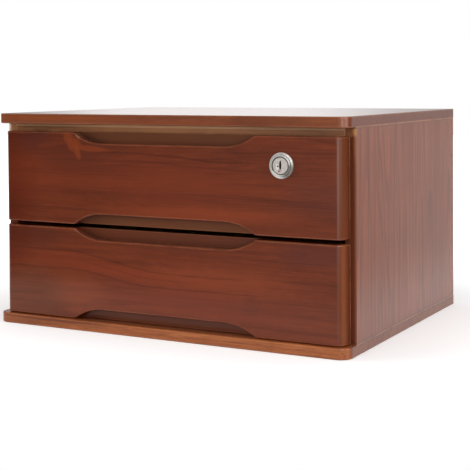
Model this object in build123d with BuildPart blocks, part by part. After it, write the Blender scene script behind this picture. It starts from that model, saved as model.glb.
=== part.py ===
"""Desktop drawer organizer: a stained-wood case with two drawers on wooden runners and a cam lock.

Millimetres. The origin is the centre of the footprint on the desk. X is to the right, Y to the
back and Z up, so the drawers open towards -Y. Each sub-part is written to parts/ as its own STEP.
"""

from build123d import *
import os

# Case
case_width = 390.0
case_depth = 300.0
case_height = 215.0
panel_thickness = 10.0
side_thickness = 10.0
back_thickness = 10.0
corner_radius = 12.0
panel_edge_round = 0.8
side_setback = 20.0
side_edge_round = 1.5
rail_height = 19.0
rail_thickness = 10.0

# Drawer fronts
front_thickness = 15.0
front_end_reveal = 5.5
rail_reveal = 8.0
lower_gap = 0.5
middle_gap = 4.0
upper_front_extra = 1.5
front_end_round = 7.5
front_edge_round = 1.2
scoop_width = 203.0
scoop_flat_width = 137.0
scoop_height = 10.8
scoop_depth = 10.5
scoop_corner_round = 1.5

# Drawer boxes and runners
box_board = 9.0
box_rise = 6.0
box_rail_clearance = 4.0
box_side_clearance = 1.0
box_back_clearance = 8.0
box_edge_round = 1.0
bottom_board = 4.0
bottom_rise = 6.0
bottom_groove_depth = 4.0
board_clearance = 0.1
runner_height = 10.0
runner_thickness = 6.0
runner_end_gap = 5.0
runner_end_round = 2.0
runner_clearance = 0.2
groove_depth_clearance = 0.4

# Fasteners
dowel_radius = 3.0
slim_dowel_radius = 2.5
dowel_chamfer = 0.6
dowel_end_gap = 0.5
dowel_in_panel = 6.5
dowel_in_edge = 13.5
dowel_in_front = 8.0
dowel_end_margin = 30.0
fastener_fit = 0.05
screw_radius = 1.9
screw_head_radius = 3.9
screw_length = 32.0
screw_end_margin = 45.0
small_screw_radius = 1.4
small_screw_head_radius = 2.8
runner_screw_length = 13.0
box_screw_length = 24.0
bottom_screw_length = 18.0
head_sink = 0.3
recess_width = 0.7
recess_share = 0.62

# Lock
lock_end_distance = 60.5
lock_drop = 27.0
flange_radius = 12.0
flange_height = 3.2
flange_rim_height = 2.0
flange_step_radius = 9.9
flange_land_radius = 9.5
flange_rim_round = 1.6
flange_land_round = 0.3
barrel_radius = 9.5
barrel_flat_half = 8.4
barrel_length = 23.7
barrel_hole_clearance = 0.2
lock_nut_thickness = 3.5
lock_nut_half_flats = 11.0
plug_radius = 6.45
plug_head_radius = 7.9
plug_head_height = 2.0
plug_head_recess = 0.4
plug_head_gap = 0.35
plug_fit = 0.05
plug_edge_chamfer = 0.3
key_slot_width = 1.5
key_slot_height = 6.6
key_slot_rise = 1.3
key_slot_depth = 14.0
key_dimple_radius = 0.9
key_dimple_drop = 0.6
key_dimple_offset = 2.6
tail_width = 7.2
tail_fit = 0.1
tail_recess = 0.2
cam_length = 28.0
cam_hub_radius = 7.0
cam_tip_radius = 4.5
cam_thickness = 2.0
cam_turn = 90.0
stop_tab_angle = 60.0
stop_play_angle = 1.0
stop_collar_height = 1.5
stop_collar_width = 1.6
stop_washer_gap = 0.3
stop_tab_gap = 0.2
stop_washer_thickness = 1.7
washer_end_play = 0.1
cam_screw_radius = 2.0
cam_screw_head_radius = 3.8
cam_screw_head_height = 2.2
cam_screw_depth = 8.0

# Places worked out from the sizes above
half_width = case_width / 2
front_y = -case_depth / 2
back_y = case_depth / 2
side_front_y = front_y + side_setback
side_back_y = back_y - back_thickness
inner_x = half_width - side_thickness
side_mid_x = half_width - side_thickness / 2
inner_floor_z = panel_thickness
inner_top_z = case_height - panel_thickness
side_height = inner_top_z - inner_floor_z
front_face_y = side_front_y - front_thickness
front_half_width = half_width - front_end_reveal
front_flat_half = front_half_width - front_end_round
fronts_height = side_height - rail_reveal - lower_gap - middle_gap
upper_front_height = (fronts_height + upper_front_extra) / 2
lower_front_height = (fronts_height - upper_front_extra) / 2
lower_front_z = inner_floor_z + lower_gap
upper_front_z = lower_front_z + lower_front_height + middle_gap
box_height = upper_front_height + rail_reveal - rail_height - box_rail_clearance - box_rise
runner_rise = (box_height - runner_height) / 2
box_half_width = inner_x - box_side_clearance
box_inner_x = box_half_width - box_board
box_back_y = side_back_y - box_back_clearance
lock_x = front_half_width - lock_end_distance
lock_z = upper_front_z + upper_front_height - lock_drop

os.makedirs("parts", exist_ok=True)


def save(piece, name):
    """Label a finished sub-part and write it as parts/NAME.step."""
    piece.part.label = name
    export_step(piece.part, f"parts/{name}.step")


# A countersunk wood screw stands on its tip and points up +Z, with its head's face at z = 0
def wood_screw(radius, head_radius, length):
    """Return a screw that hangs down from z = 0, with a cross recess in its head."""
    head_height = head_radius - radius
    with BuildPart() as screw:
        with BuildSketch(Plane.XZ):
            with BuildLine():
                Polyline(
                    (0, 0),
                    (head_radius, 0),
                    (radius, -head_height),
                    (radius, -length + 2 * radius),
                    (0, -length),
                    close=True,
                )
            make_face()
        revolve(axis=Axis.Z)
        with BuildSketch():
            Rectangle(2 * recess_share * head_radius, recess_width)
            Rectangle(recess_width, 2 * recess_share * head_radius)
        extrude(amount=-head_height / 2, mode=Mode.SUBTRACT)
    return screw.part


def dowel(radius, length):
    """Return an upright dowel centred on the origin, with chamfered ends."""
    with BuildPart() as pin:
        Cylinder(radius, length)
        chamfer(pin.edges().filter_by(GeomType.CIRCLE), dowel_chamfer)
    return pin.part


def countersink(radius, head_radius, length):
    """Return the hole that a wood screw fills, with the screw's head sunk a little."""
    hole_radius = radius + fastener_fit
    mouth_radius = head_radius + fastener_fit
    with BuildPart() as hole:
        with BuildSketch(Plane.XZ):
            with BuildLine():
                Polyline(
                    (0, head_sink),
                    (mouth_radius, head_sink),
                    (mouth_radius, 0),
                    (hole_radius, -(mouth_radius - hole_radius)),
                    (hole_radius, -length - fastener_fit),
                    (0, -length - fastener_fit),
                    close=True,
                )
            make_face()
        revolve(axis=Axis.Z)
    return hole.part


def evenly(low, high, count):
    """Return count places from low to high, ends included."""
    return [low + (high - low) * step / (count - 1) for step in range(count)]


# Fastener places, shared by the fasteners and by the holes that hold them
def facing(point, direction):
    """Return the plane at a point whose normal is the way a screw's head faces."""
    return Plane(origin=point, z_dir=direction)


sides = (-1, 1)
dowel_ys = evenly(side_front_y + dowel_end_margin, side_back_y - dowel_end_margin, 3)
screw_ys = evenly(side_front_y + screw_end_margin, side_back_y - screw_end_margin, 3)
screw_zs = evenly(inner_floor_z + dowel_end_margin, inner_top_z - dowel_end_margin, 3)

top_dowel_planes = [
    facing((side * side_mid_x, y, inner_top_z + (dowel_in_panel - dowel_in_edge) / 2), (0, 0, 1))
    for side in sides
    for y in dowel_ys
]
base_screw_planes = [
    facing((side * side_mid_x, y, head_sink), (0, 0, -1)) for side in sides for y in screw_ys
]
back_screw_planes = [
    facing((side * side_mid_x, back_y - head_sink, z), (0, 1, 0))
    for side in sides
    for z in screw_zs
]
rail_mid_y = side_front_y + rail_thickness / 2
rail_dowel_zs = (inner_top_z - rail_height / 4, inner_top_z - rail_height * 3 / 4)
rail_dowel_planes = [
    facing((side * (inner_x + (dowel_in_panel - dowel_in_edge) / 2), rail_mid_y, z), (side, 0, 0))
    for side in sides
    for z in rail_dowel_zs
]
runner_front_y = side_front_y + runner_end_gap
runner_back_y = side_back_y - runner_end_gap
runner_screw_ys = (runner_front_y + dowel_end_margin, runner_back_y - dowel_end_margin)


def runner_mid_z(front_z):
    """Return the height of the runners of the drawer whose front stands on front_z."""
    return front_z + box_rise + runner_rise + runner_height / 2


runner_screw_planes = {
    side: [
        facing((side * (inner_x - runner_thickness + head_sink), y, runner_mid_z(z)), (-side, 0, 0))
        for z in (lower_front_z, upper_front_z)
        for y in runner_screw_ys
    ]
    for side in sides
}

# Dowels and screws of the case
dowel_length = dowel_in_panel + dowel_in_edge
case_dowel = dowel(dowel_radius, dowel_length)
case_dowel_hole = Cylinder(dowel_radius + fastener_fit, dowel_length + 2 * dowel_end_gap)
slim_dowel = dowel(slim_dowel_radius, dowel_length)
slim_dowel_hole = Cylinder(slim_dowel_radius + fastener_fit, dowel_length + 2 * dowel_end_gap)
case_screw = wood_screw(screw_radius, screw_head_radius, screw_length)
case_screw_hole = countersink(screw_radius, screw_head_radius, screw_length)
runner_screw = wood_screw(small_screw_radius, small_screw_head_radius, runner_screw_length)
runner_screw_hole = countersink(small_screw_radius, small_screw_head_radius, runner_screw_length)


def save_group(shape, planes, name):
    """Write one node that holds a copy of shape at each plane."""
    with BuildPart() as group:
        with Locations(*planes):
            add(shape)
    save(group, name)


save_group(case_dowel, top_dowel_planes, "top_dowels")
save_group(case_screw, base_screw_planes, "base_screws")
save_group(case_screw, back_screw_planes, "back_screws")
save_group(slim_dowel, rail_dowel_planes, "rail_dowels")
save_group(runner_screw, runner_screw_planes[-1] + runner_screw_planes[1], "runner_screws")


# Top and bottom panels, with rounded front corners and rounded front edges
def case_panel(low_z):
    """Return a full-size panel whose lower face is at low_z, without its fastener holes."""
    with BuildPart() as nose:
        with BuildSketch(Plane.XY.offset(low_z)):
            with Locations((0, (front_y + side_front_y) / 2)):
                outline = Rectangle(case_width, side_setback)
            fillet(outline.vertices().group_by(Axis.Y)[0], corner_radius)
        extrude(amount=panel_thickness)
        rim = nose.faces().filter_by(Axis.Z).edges()
        fillet(rim.filter_by(lambda edge: edge.center().Y < side_front_y - 0.01), panel_edge_round)
    with BuildPart() as panel:
        with BuildSketch(Plane.XY.offset(low_z)):
            with Locations((0, (side_front_y + back_y) / 2)):
                Rectangle(case_width, case_depth - side_setback)
        extrude(amount=panel_thickness)
        outer_face = Axis.Z if low_z > 0 else -Axis.Z
        outer_rim = panel.faces().sort_by(outer_face)[-1].edges()
        fillet(outer_rim.filter_by(lambda edge: edge.center().Y > side_front_y + 0.01), panel_edge_round)
        add(nose.part)
    return panel.part


def drill(hole, planes):
    """Cut a copy of the hole at each plane from the part that is being built."""
    with Locations(*planes):
        add(hole, mode=Mode.SUBTRACT)


with BuildPart() as top_panel:
    add(case_panel(inner_top_z))
    drill(case_dowel_hole, top_dowel_planes)
save(top_panel, "top_panel")

with BuildPart() as bottom_panel:
    add(case_panel(0))
    drill(case_screw_hole, base_screw_planes)
save(bottom_panel, "bottom_panel")


# Side panels, with rounded outer front edges
for side, label in zip(sides, ("left", "right")):
    outwards = Axis((0, 0, 0), (side, 0, 0))
    with BuildPart() as side_panel:
        with BuildSketch(Plane.XY.offset(inner_floor_z)):
            with Locations((side * side_mid_x, (side_front_y + side_back_y) / 2)):
                Rectangle(side_thickness, side_back_y - side_front_y)
        extrude(amount=side_height)
        front_edges = side_panel.edges().filter_by(Axis.Z).group_by(Axis.Y)[0]
        fillet(front_edges.sort_by(outwards)[-1], side_edge_round)
        drill(case_dowel_hole, top_dowel_planes)
        drill(case_screw_hole, base_screw_planes + back_screw_planes)
        drill(slim_dowel_hole, rail_dowel_planes)
        drill(runner_screw_hole, runner_screw_planes[side])
    save(side_panel, f"{label}_side_panel")


# Back panel, the full width of the case, on the back edges of the side panels
with BuildPart() as back_panel:
    with BuildSketch(Plane.XY.offset(inner_floor_z)):
        with Locations((0, back_y - back_thickness / 2)):
            Rectangle(case_width, back_thickness)
    extrude(amount=side_height)
    fillet(back_panel.edges().filter_by(Axis.Z).group_by(Axis.Y)[-1], panel_edge_round)
    drill(case_screw_hole, back_screw_planes)
save(back_panel, "back_panel")


# Front rail under the top panel, which the lock's cam catches
with BuildPart() as front_top_rail:
    with BuildSketch(Plane.XY.offset(inner_top_z - rail_height)):
        with Locations((0, rail_mid_y)):
            Rectangle(2 * inner_x, rail_thickness)
    extrude(amount=rail_height)
    drill(slim_dowel_hole, rail_dowel_planes)
save(front_top_rail, "front_top_rail")


# Outline of a finger scoop, whose open side is on the local X axis
with BuildSketch() as scoop_outline:
    with BuildLine():
        scoop_floor = Line((-scoop_flat_width / 2, -scoop_height), (scoop_flat_width / 2, -scoop_height))
        right_end = TangentArc(scoop_floor @ 1, (scoop_width / 2, 0), tangent=scoop_floor % 1)
        left_end = TangentArc(scoop_floor @ 0, (-scoop_width / 2, 0), tangent=-(scoop_floor % 0))
        Polyline(
            right_end @ 1,
            (scoop_width / 2, scoop_height),
            (-scoop_width / 2, scoop_height),
            left_end @ 1,
        )
    make_face()


def drawer_front_board(front_z, front_height):
    """Return a drawer front on front_z with elliptical ends and a scoop in each long edge."""
    middle = (0, front_z + front_height / 2)
    with BuildPart() as board:
        with BuildSketch(Plane.XZ.offset(-side_front_y)):
            with Locations(middle):
                Rectangle(2 * front_half_width, front_height)
        extrude(amount=front_thickness - scoop_depth)
        with BuildSketch(Plane.XZ.offset(-front_face_y - scoop_depth)) as face_layer:
            with Locations(middle):
                Rectangle(2 * front_half_width, front_height)
            with Locations(Location((0, front_z + front_height)), Location((0, front_z), 180)):
                add(scoop_outline.sketch, mode=Mode.SUBTRACT)
            scoop_corners = face_layer.vertices().filter_by(
                lambda corner: abs(abs(corner.X) - scoop_width / 2) < scoop_corner_round / 2
            )
            fillet(scoop_corners, scoop_corner_round)
        extrude(amount=scoop_depth)
        with BuildSketch(Plane.XY.offset(front_z)):
            with Locations((0, (front_face_y + side_front_y) / 2)):
                Rectangle(2 * front_flat_half, front_thickness)
            with Locations(*[(side * front_flat_half, side_front_y) for side in sides]):
                Ellipse(front_end_round, front_thickness)
        extrude(amount=front_height, mode=Mode.INTERSECT)
        face_edges = board.faces().sort_by(Axis.Y)[0].outer_wire().edges()
        fillet(face_edges.filter_by(Axis.Z, reverse=True), front_edge_round)
    return board.part


box_dowel_rises = (
    (bottom_rise + bottom_board + runner_rise) / 2,
    (runner_rise + runner_height + box_height) / 2,
)
box_dowel_length = dowel_in_front + dowel_in_edge
box_dowel = dowel(slim_dowel_radius, box_dowel_length)
box_dowel_hole = Cylinder(slim_dowel_radius + fastener_fit, box_dowel_length + 2 * dowel_end_gap)
box_screw = wood_screw(small_screw_radius, small_screw_head_radius, box_screw_length)
box_screw_hole = countersink(small_screw_radius, small_screw_head_radius, box_screw_length)
bottom_screw = wood_screw(small_screw_radius, small_screw_head_radius, bottom_screw_length)
bottom_screw_hole = countersink(small_screw_radius, small_screw_head_radius, bottom_screw_length)
box_board_mid_x = box_half_width - box_board / 2
box_back_mid_y = box_back_y - box_board / 2
box_length = box_back_y - side_front_y
groove_floor_x = inner_x - runner_thickness - groove_depth_clearance
bottom_half_width = box_inner_x + bottom_groove_depth
bottom_front_y = side_front_y - bottom_groove_depth
bottom_length = box_back_y - bottom_front_y
bottom_screw_xs = evenly(-box_inner_x + screw_end_margin, box_inner_x - screw_end_margin, 3)

lock_point = (lock_x, front_face_y, lock_z)
lock_face = Plane(origin=lock_point, x_dir=(1, 0, 0), z_dir=(0, -1, 0))
lock_section = Plane(origin=lock_point, x_dir=(1, 0, 0), z_dir=(0, 0, 1))
lock_axis = Axis(lock_point, (0, 1, 0))

# Drawers: a front, and a box of two grooved sides, a back and a thin bottom
for drawer, front_z, front_height in (
    ("upper", upper_front_z, upper_front_height),
    ("lower", lower_front_z, lower_front_height),
):
    box_z = front_z + box_rise
    bottom_z = box_z + bottom_rise
    back_z = bottom_z + bottom_board
    box_dowel_y = side_front_y + (dowel_in_edge - dowel_in_front) / 2
    box_dowel_planes = [
        facing((side * box_board_mid_x, box_dowel_y, box_z + rise), (0, 1, 0))
        for side in sides
        for rise in box_dowel_rises
    ]
    box_screw_planes = [
        facing((side * (box_half_width - head_sink), box_back_mid_y, box_z + rise), (side, 0, 0))
        for side in sides
        for rise in box_dowel_rises
    ]
    bottom_screw_planes = [
        facing((x, box_back_mid_y, bottom_z + head_sink), (0, 0, -1)) for x in bottom_screw_xs
    ]
    save_group(box_dowel, box_dowel_planes, f"{drawer}_drawer_dowels")
    save_group(box_screw, box_screw_planes, f"{drawer}_drawer_back_screws")
    save_group(bottom_screw, bottom_screw_planes, f"{drawer}_drawer_bottom_screws")

    with BuildPart() as bottom_slot:
        with BuildSketch(Plane.XY.offset(bottom_z - board_clearance)):
            with Locations((0, (bottom_front_y + box_back_y) / 2)):
                Rectangle(2 * bottom_half_width, bottom_length)
        extrude(amount=bottom_board + 2 * board_clearance)

    with BuildPart() as drawer_front:
        add(drawer_front_board(front_z, front_height))
        add(bottom_slot.part, mode=Mode.SUBTRACT)
        drill(box_dowel_hole, box_dowel_planes)
        if drawer == "upper":
            with BuildSketch(lock_face):
                Circle(barrel_radius + barrel_hole_clearance)
            extrude(amount=-front_thickness, mode=Mode.SUBTRACT)
    save(drawer_front, f"{drawer}_drawer_front")

    for side, label in zip(sides, ("left", "right")):
        with BuildPart() as drawer_side:
            with BuildSketch(Plane.XY.offset(box_z)):
                with Locations((side * box_board_mid_x, (side_front_y + box_back_y) / 2)):
                    Rectangle(box_board, box_length)
            extrude(amount=box_height)
            long_edges = drawer_side.edges().filter_by(Axis.Y)
            fillet(long_edges.group_by(Axis.Z)[-1], box_edge_round)
            with BuildSketch(Plane.XY.offset(box_z + runner_rise - runner_clearance)):
                with Locations((side * (groove_floor_x + box_board), (side_front_y + box_back_y) / 2)):
                    Rectangle(2 * box_board, box_length)
            extrude(amount=runner_height + 2 * runner_clearance, mode=Mode.SUBTRACT)
            add(bottom_slot.part, mode=Mode.SUBTRACT)
            drill(box_dowel_hole, box_dowel_planes)
            drill(box_screw_hole, box_screw_planes)
        save(drawer_side, f"{drawer}_drawer_{label}_side")

        with BuildPart() as runner:
            with BuildSketch(Plane.XY.offset(box_z + runner_rise)):
                runner_x = side * (inner_x - runner_thickness / 2)
                with Locations((runner_x, (runner_front_y + runner_back_y) / 2)):
                    strip = Rectangle(runner_thickness, runner_back_y - runner_front_y)
                inwards = Axis((0, 0, 0), (-side, 0, 0))
                fillet(strip.vertices().group_by(inwards)[-1], runner_end_round)
            extrude(amount=runner_height)
            drill(runner_screw_hole, runner_screw_planes[side])
        save(runner, f"{drawer}_{label}_runner")

    with BuildPart() as drawer_back:
        with BuildSketch(Plane.XY.offset(back_z)):
            with Locations((0, box_back_mid_y)):
                Rectangle(2 * box_inner_x, box_board)
        extrude(amount=box_z + box_height - back_z)
        fillet(drawer_back.edges().filter_by(Axis.X).group_by(Axis.Z)[-1], box_edge_round)
        drill(box_screw_hole, box_screw_planes)
        drill(bottom_screw_hole, bottom_screw_planes)
    save(drawer_back, f"{drawer}_drawer_back")

    with BuildPart() as drawer_bottom:
        with BuildSketch(Plane.XY.offset(bottom_z)):
            with Locations((0, (bottom_front_y + board_clearance + box_back_y) / 2)):
                Rectangle(2 * (bottom_half_width - board_clearance), bottom_length - board_clearance)
        extrude(amount=bottom_board)
        drill(bottom_screw_hole, bottom_screw_planes)
    save(drawer_bottom, f"{drawer}_drawer_bottom")


# Lock: depths are counted from the drawer front's face, towards the back
counterbore_radius = plug_head_radius + plug_head_gap
counterbore_floor = -flange_height + plug_head_recess + plug_head_height
bore_radius = plug_radius + plug_fit
washer_front = barrel_length + washer_end_play
cam_front = washer_front + stop_washer_thickness
cam_back = cam_front + cam_thickness


def lock_plane(depth):
    """Return the plane across the lock at a depth, with X to the right and Y up."""
    return lock_face.offset(-depth)


# The free quarter-turn arc of the stop collar, and the tab that swings in it
free_arc = cam_turn + stop_tab_angle + 2 * stop_play_angle
free_arc_middle = -cam_turn / 2


def sector(middle, width, radius):
    """Return a wedge of a circle round the lock's axis, centred on an angle, as a sketch."""
    with BuildSketch() as wedge:
        with BuildLine():
            arc = CenterArc((0, 0), radius, middle - width / 2, width)
            Polyline(arc @ 1, (0, 0), arc @ 0)
        make_face()
    return wedge.sketch


with BuildPart() as lock_body:
    with BuildSketch(lock_section) as flange_profile:
        with BuildLine():
            Polyline(
                (counterbore_radius, -flange_height),
                (flange_land_radius, -flange_height),
                (flange_step_radius, -flange_rim_height),
                (flange_radius, -flange_rim_height),
                (flange_radius, 0),
                (barrel_radius, 0),
                (barrel_radius, barrel_length),
                (bore_radius, barrel_length),
                (bore_radius, counterbore_floor),
                (counterbore_radius, counterbore_floor),
                close=True,
            )
        make_face()
        rim_corner = flange_profile.vertices().group_by(Axis.X)[-1].sort_by(Axis.Y)[0]
        fillet(rim_corner, flange_rim_round)
        fillet(flange_profile.vertices().group_by(Axis.Y)[0], flange_land_round)
    revolve(axis=lock_axis)
    with BuildSketch(lock_face):
        Circle(flange_radius)
        Rectangle(2 * barrel_flat_half, 2 * flange_radius, mode=Mode.SUBTRACT)
    extrude(amount=-barrel_length, mode=Mode.SUBTRACT)
    with BuildSketch(lock_plane(barrel_length)):
        Circle(barrel_radius)
        Circle(barrel_radius - stop_collar_width, mode=Mode.SUBTRACT)
        add(sector(free_arc_middle, free_arc, 2 * barrel_radius), mode=Mode.SUBTRACT)
    extrude(amount=-stop_collar_height)
save(lock_body, "lock_body")

with BuildPart() as lock_nut:
    with BuildSketch(lock_plane(front_thickness)):
        RegularPolygon(lock_nut_half_flats, 6, major_radius=False)
        Circle(barrel_radius + fastener_fit, mode=Mode.SUBTRACT)
    extrude(amount=-lock_nut_thickness)
save(lock_nut, "lock_nut")

with BuildPart() as lock_plug:
    with BuildSketch(lock_plane(counterbore_floor)):
        Circle(plug_head_radius)
    extrude(amount=plug_head_height)
    face_rim = lock_plug.faces().sort_by(Axis.Y)[0].edges()
    chamfer(face_rim, plug_edge_chamfer)
    with BuildSketch(lock_plane(counterbore_floor)):
        Circle(plug_radius)
    extrude(amount=counterbore_floor - barrel_length)
    with BuildSketch(lock_plane(barrel_length)):
        Rectangle(tail_width, tail_width)
    extrude(amount=-(cam_back - barrel_length - tail_recess))
    with BuildSketch(lock_plane(cam_back - tail_recess)):
        Circle(cam_screw_radius + fastener_fit)
    extrude(amount=cam_screw_depth, mode=Mode.SUBTRACT)
    with BuildSketch(lock_plane(counterbore_floor - plug_head_height)):
        with Locations((0, key_slot_rise)):
            Rectangle(key_slot_width, key_slot_height)
    extrude(amount=-key_slot_depth, mode=Mode.SUBTRACT)
    with Locations(lock_plane(counterbore_floor - plug_head_height)):
        with Locations((-key_dimple_offset, -key_dimple_drop, 0)):
            Sphere(key_dimple_radius, mode=Mode.SUBTRACT)
save(lock_plug, "lock_plug")

with BuildPart() as cam_stop_washer:
    with BuildSketch(lock_plane(washer_front)):
        Circle(barrel_radius - stop_collar_width - stop_washer_gap)
        add(sector(0, stop_tab_angle, barrel_radius - stop_tab_gap))
        Rectangle(tail_width + 2 * tail_fit, tail_width + 2 * tail_fit, mode=Mode.SUBTRACT)
    extrude(amount=-stop_washer_thickness)
save(cam_stop_washer, "cam_stop_washer")

with BuildPart() as lock_cam:
    with BuildSketch(lock_plane(cam_front)):
        Circle(cam_hub_radius)
        with Locations((cam_tip_radius - cam_length, 0)):
            Circle(cam_tip_radius)
        make_hull()
        Rectangle(tail_width + 2 * tail_fit, tail_width + 2 * tail_fit, mode=Mode.SUBTRACT)
    extrude(amount=-cam_thickness)
save(lock_cam, "lock_cam")

with BuildPart() as cam_screw:
    with BuildSketch(lock_plane(cam_back)):
        Circle(cam_screw_head_radius)
    extrude(amount=-cam_screw_head_height)
    head_rim = cam_screw.faces().sort_by(Axis.Y)[-1].edges()
    fillet(head_rim, cam_screw_head_height / 2)
    with BuildSketch(lock_plane(cam_back + cam_screw_head_height)):
        Rectangle(2 * recess_share * cam_screw_head_radius, recess_width)
        Rectangle(recess_width, 2 * recess_share * cam_screw_head_radius)
    extrude(amount=cam_screw_head_height / 2, mode=Mode.SUBTRACT)
    with BuildSketch(lock_plane(cam_back)):
        Circle(cam_screw_radius)
    extrude(amount=cam_screw_depth - tail_recess - fastener_fit)
save(cam_screw, "cam_screw")
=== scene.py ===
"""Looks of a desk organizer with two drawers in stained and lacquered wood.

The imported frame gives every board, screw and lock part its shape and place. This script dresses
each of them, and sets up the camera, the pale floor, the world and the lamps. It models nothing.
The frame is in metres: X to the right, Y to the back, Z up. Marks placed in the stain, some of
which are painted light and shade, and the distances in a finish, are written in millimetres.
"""

import sys
import logging
import math
from dataclasses import dataclass, field, replace
from enum import Enum
from functools import partial, reduce

import bpy
import numpy as np
from mathutils import Matrix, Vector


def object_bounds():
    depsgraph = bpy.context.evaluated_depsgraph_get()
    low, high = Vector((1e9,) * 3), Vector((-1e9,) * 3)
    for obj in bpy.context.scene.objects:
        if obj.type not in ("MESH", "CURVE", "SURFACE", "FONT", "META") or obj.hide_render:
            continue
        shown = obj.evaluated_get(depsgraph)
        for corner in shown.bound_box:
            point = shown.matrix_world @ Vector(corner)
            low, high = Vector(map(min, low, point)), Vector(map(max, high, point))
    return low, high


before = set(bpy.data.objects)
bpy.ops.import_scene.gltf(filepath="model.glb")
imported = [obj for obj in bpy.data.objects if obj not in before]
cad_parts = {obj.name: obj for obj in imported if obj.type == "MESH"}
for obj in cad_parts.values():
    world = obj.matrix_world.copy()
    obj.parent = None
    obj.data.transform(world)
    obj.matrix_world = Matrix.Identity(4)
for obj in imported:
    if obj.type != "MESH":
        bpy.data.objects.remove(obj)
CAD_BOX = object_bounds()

MILLIMETRE = 0.001
PER_METRE = 1000.0

logging.basicConfig(level=logging.INFO, format="%(levelname)s %(message)s", stream=sys.stdout)
LOG = logging.getLogger("organizer")

Socket = bpy.types.NodeSocket
Tree = bpy.types.NodeTree
Point = tuple[float, float, float]
# Red, green and blue in screen values from 0 to 255
Colour = tuple[int, int, int]
# Where a smooth change begins and ends, then what it leads from and to if that isn't 0 and 1
Ramp = tuple[float, ...]


def box_of(node: str) -> tuple[list[float], list[float]]:
    """Measure a CAD node.

    Args:
        node: The node's name.

    Returns:
        The lowest and the highest corner of its mesh, in metres of the frame.
    """
    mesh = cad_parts[node].data
    places = np.empty(3 * len(mesh.vertices))
    mesh.vertices.foreach_get("co", places)
    corners = places.reshape(-1, 3)
    return corners.min(axis=0).tolist(), corners.max(axis=0).tolist()


# Places that the finishes go by, measured on the frame
HALF_WIDTH, HALF_DEPTH = CAD_BOX[1][0], CAD_BOX[1][1]
FRONT_LOW, FRONT_HIGH = box_of("upper_drawer_front")
FRONT_FACE, FRONT_END = FRONT_LOW[1], FRONT_HIGH[0]
SIDE_EDGE = box_of("right_side_panel")[0][1]
LOCK_LOW, LOCK_HIGH = box_of("lock_body")
LOCK_AXIS = ((LOCK_LOW[0] + LOCK_HIGH[0]) / 2, 0.0, (LOCK_LOW[2] + LOCK_HIGH[2]) / 2)
PLUG_FACE = box_of("lock_plug")[0][1]


class Fibres(Enum):
    """The way that the fibres of a board run, as the turn that brings them onto X."""

    ACROSS = (0.0, 0.0, 0.0)
    DEEP = (0.0, 0.0, -math.pi / 2)
    UPRIGHT = (0.0, math.pi / 2, 0.0)


class Wiring:
    """A node tree with short calls for making its nodes and joining them."""

    def __init__(self, tree: Tree) -> None:
        """Keep the tree that the nodes go into."""
        self.tree = tree

    def node(self, kind: str, *sources: object, **settings: object) -> bpy.types.Node:
        """Add a node.

        Args:
            kind: Its type, without the leading ShaderNode.
            sources: What its inputs take, in order. None leaves one as it is.
            settings: Its properties.

        Returns:
            The node.
        """
        made = self.tree.nodes.new("ShaderNode" + kind)
        for name, value in settings.items():
            setattr(made, name, value)
        for socket, source in zip(made.inputs, sources):
            if source is not None:
                self.feed(socket, source)
        return made

    def feed(self, socket: Socket, source: object) -> None:
        """Join an output to an input, or write a value into it.

        Args:
            socket: The input.
            source: An output, a number, a vector or a colour, which is made linear for shaders.
        """
        if isinstance(source, Socket):
            self.tree.links.new(source, socket)
        elif socket.type == "RGBA":
            shares = [part / 255 for part in source]
            linear = [part / 12.92 if part < 0.04 else ((part + 0.055) / 1.055) ** 2.4 for part in shares]
            socket.default_value = (*linear, 1.0)
        else:
            socket.default_value = source

    def math(self, operation: str, *sources: object, clamp: bool = False) -> Socket:
        """Work out a number by a Math node; clamp keeps it from 0 to 1."""
        return self.node("Math", *sources, operation=operation, use_clamp=clamp).outputs[0]

    def chain(self, operation: str, *sources: object) -> Socket:
        """Join numbers by an operation of two inputs, from left to right."""
        return reduce(partial(self.math, operation), sources)

    def product(self, *factors: object) -> Socket:
        """Multiply numbers."""
        return self.chain("MULTIPLY", *factors)

    def vector(self, operation: str, *sources: object) -> Socket:
        """Work out a vector, or the number that DOT_PRODUCT and LENGTH give."""
        made = self.node("VectorMath", *sources, operation=operation)
        return made.outputs["Value" if operation in ("DOT_PRODUCT", "LENGTH") else "Vector"]

    def scaled(self, vector: object, factor: object) -> Socket:
        """Scale a vector by a number."""
        return self.vector("SCALE", vector, None, None, factor)

    def parts(self, vector: Socket) -> tuple[Socket, ...]:
        """Split a vector into its X, Y and Z."""
        return tuple(self.node("SeparateXYZ", vector).outputs)

    def noise(self, place: Socket, stretch: Point, detail: float = 2.0, roughness: float = 0.5) -> Socket:
        """Sample a noise about 0.5 with so many features per metre along X, Y and Z."""
        drawn = self.vector("MULTIPLY", place, stretch)
        return self.node("TexNoise", drawn, None, 1.0, detail, roughness).outputs["Fac"]

    def span(
        self, source: object, low: object, high: object, start: float = 0.0, end: float = 1.0
    ) -> Socket:
        """Map a number smoothly from low..high onto start..end, and hold it beyond."""
        ramp = self.node("MapRange", source, low, high, start, end, interpolation_type="SMOOTHSTEP")
        return ramp.outputs["Result"]

    def hump(self, source: object, rise: Ramp, fall: Ramp) -> Socket:
        """Rise smoothly from 0 to 1 over one stretch of a number and fall back over another."""
        return self.product(self.span(source, *rise), self.span(source, *fall, 1.0, 0.0))

    def mix(self, share: object, first: object, second: object) -> Socket:
        """Mix two colours by the share of the second, which the node keeps from 0 to 1."""
        unused = [None] * 5
        return self.node("Mix", share, *unused, first, second, data_type="RGBA").outputs[2]


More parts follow.
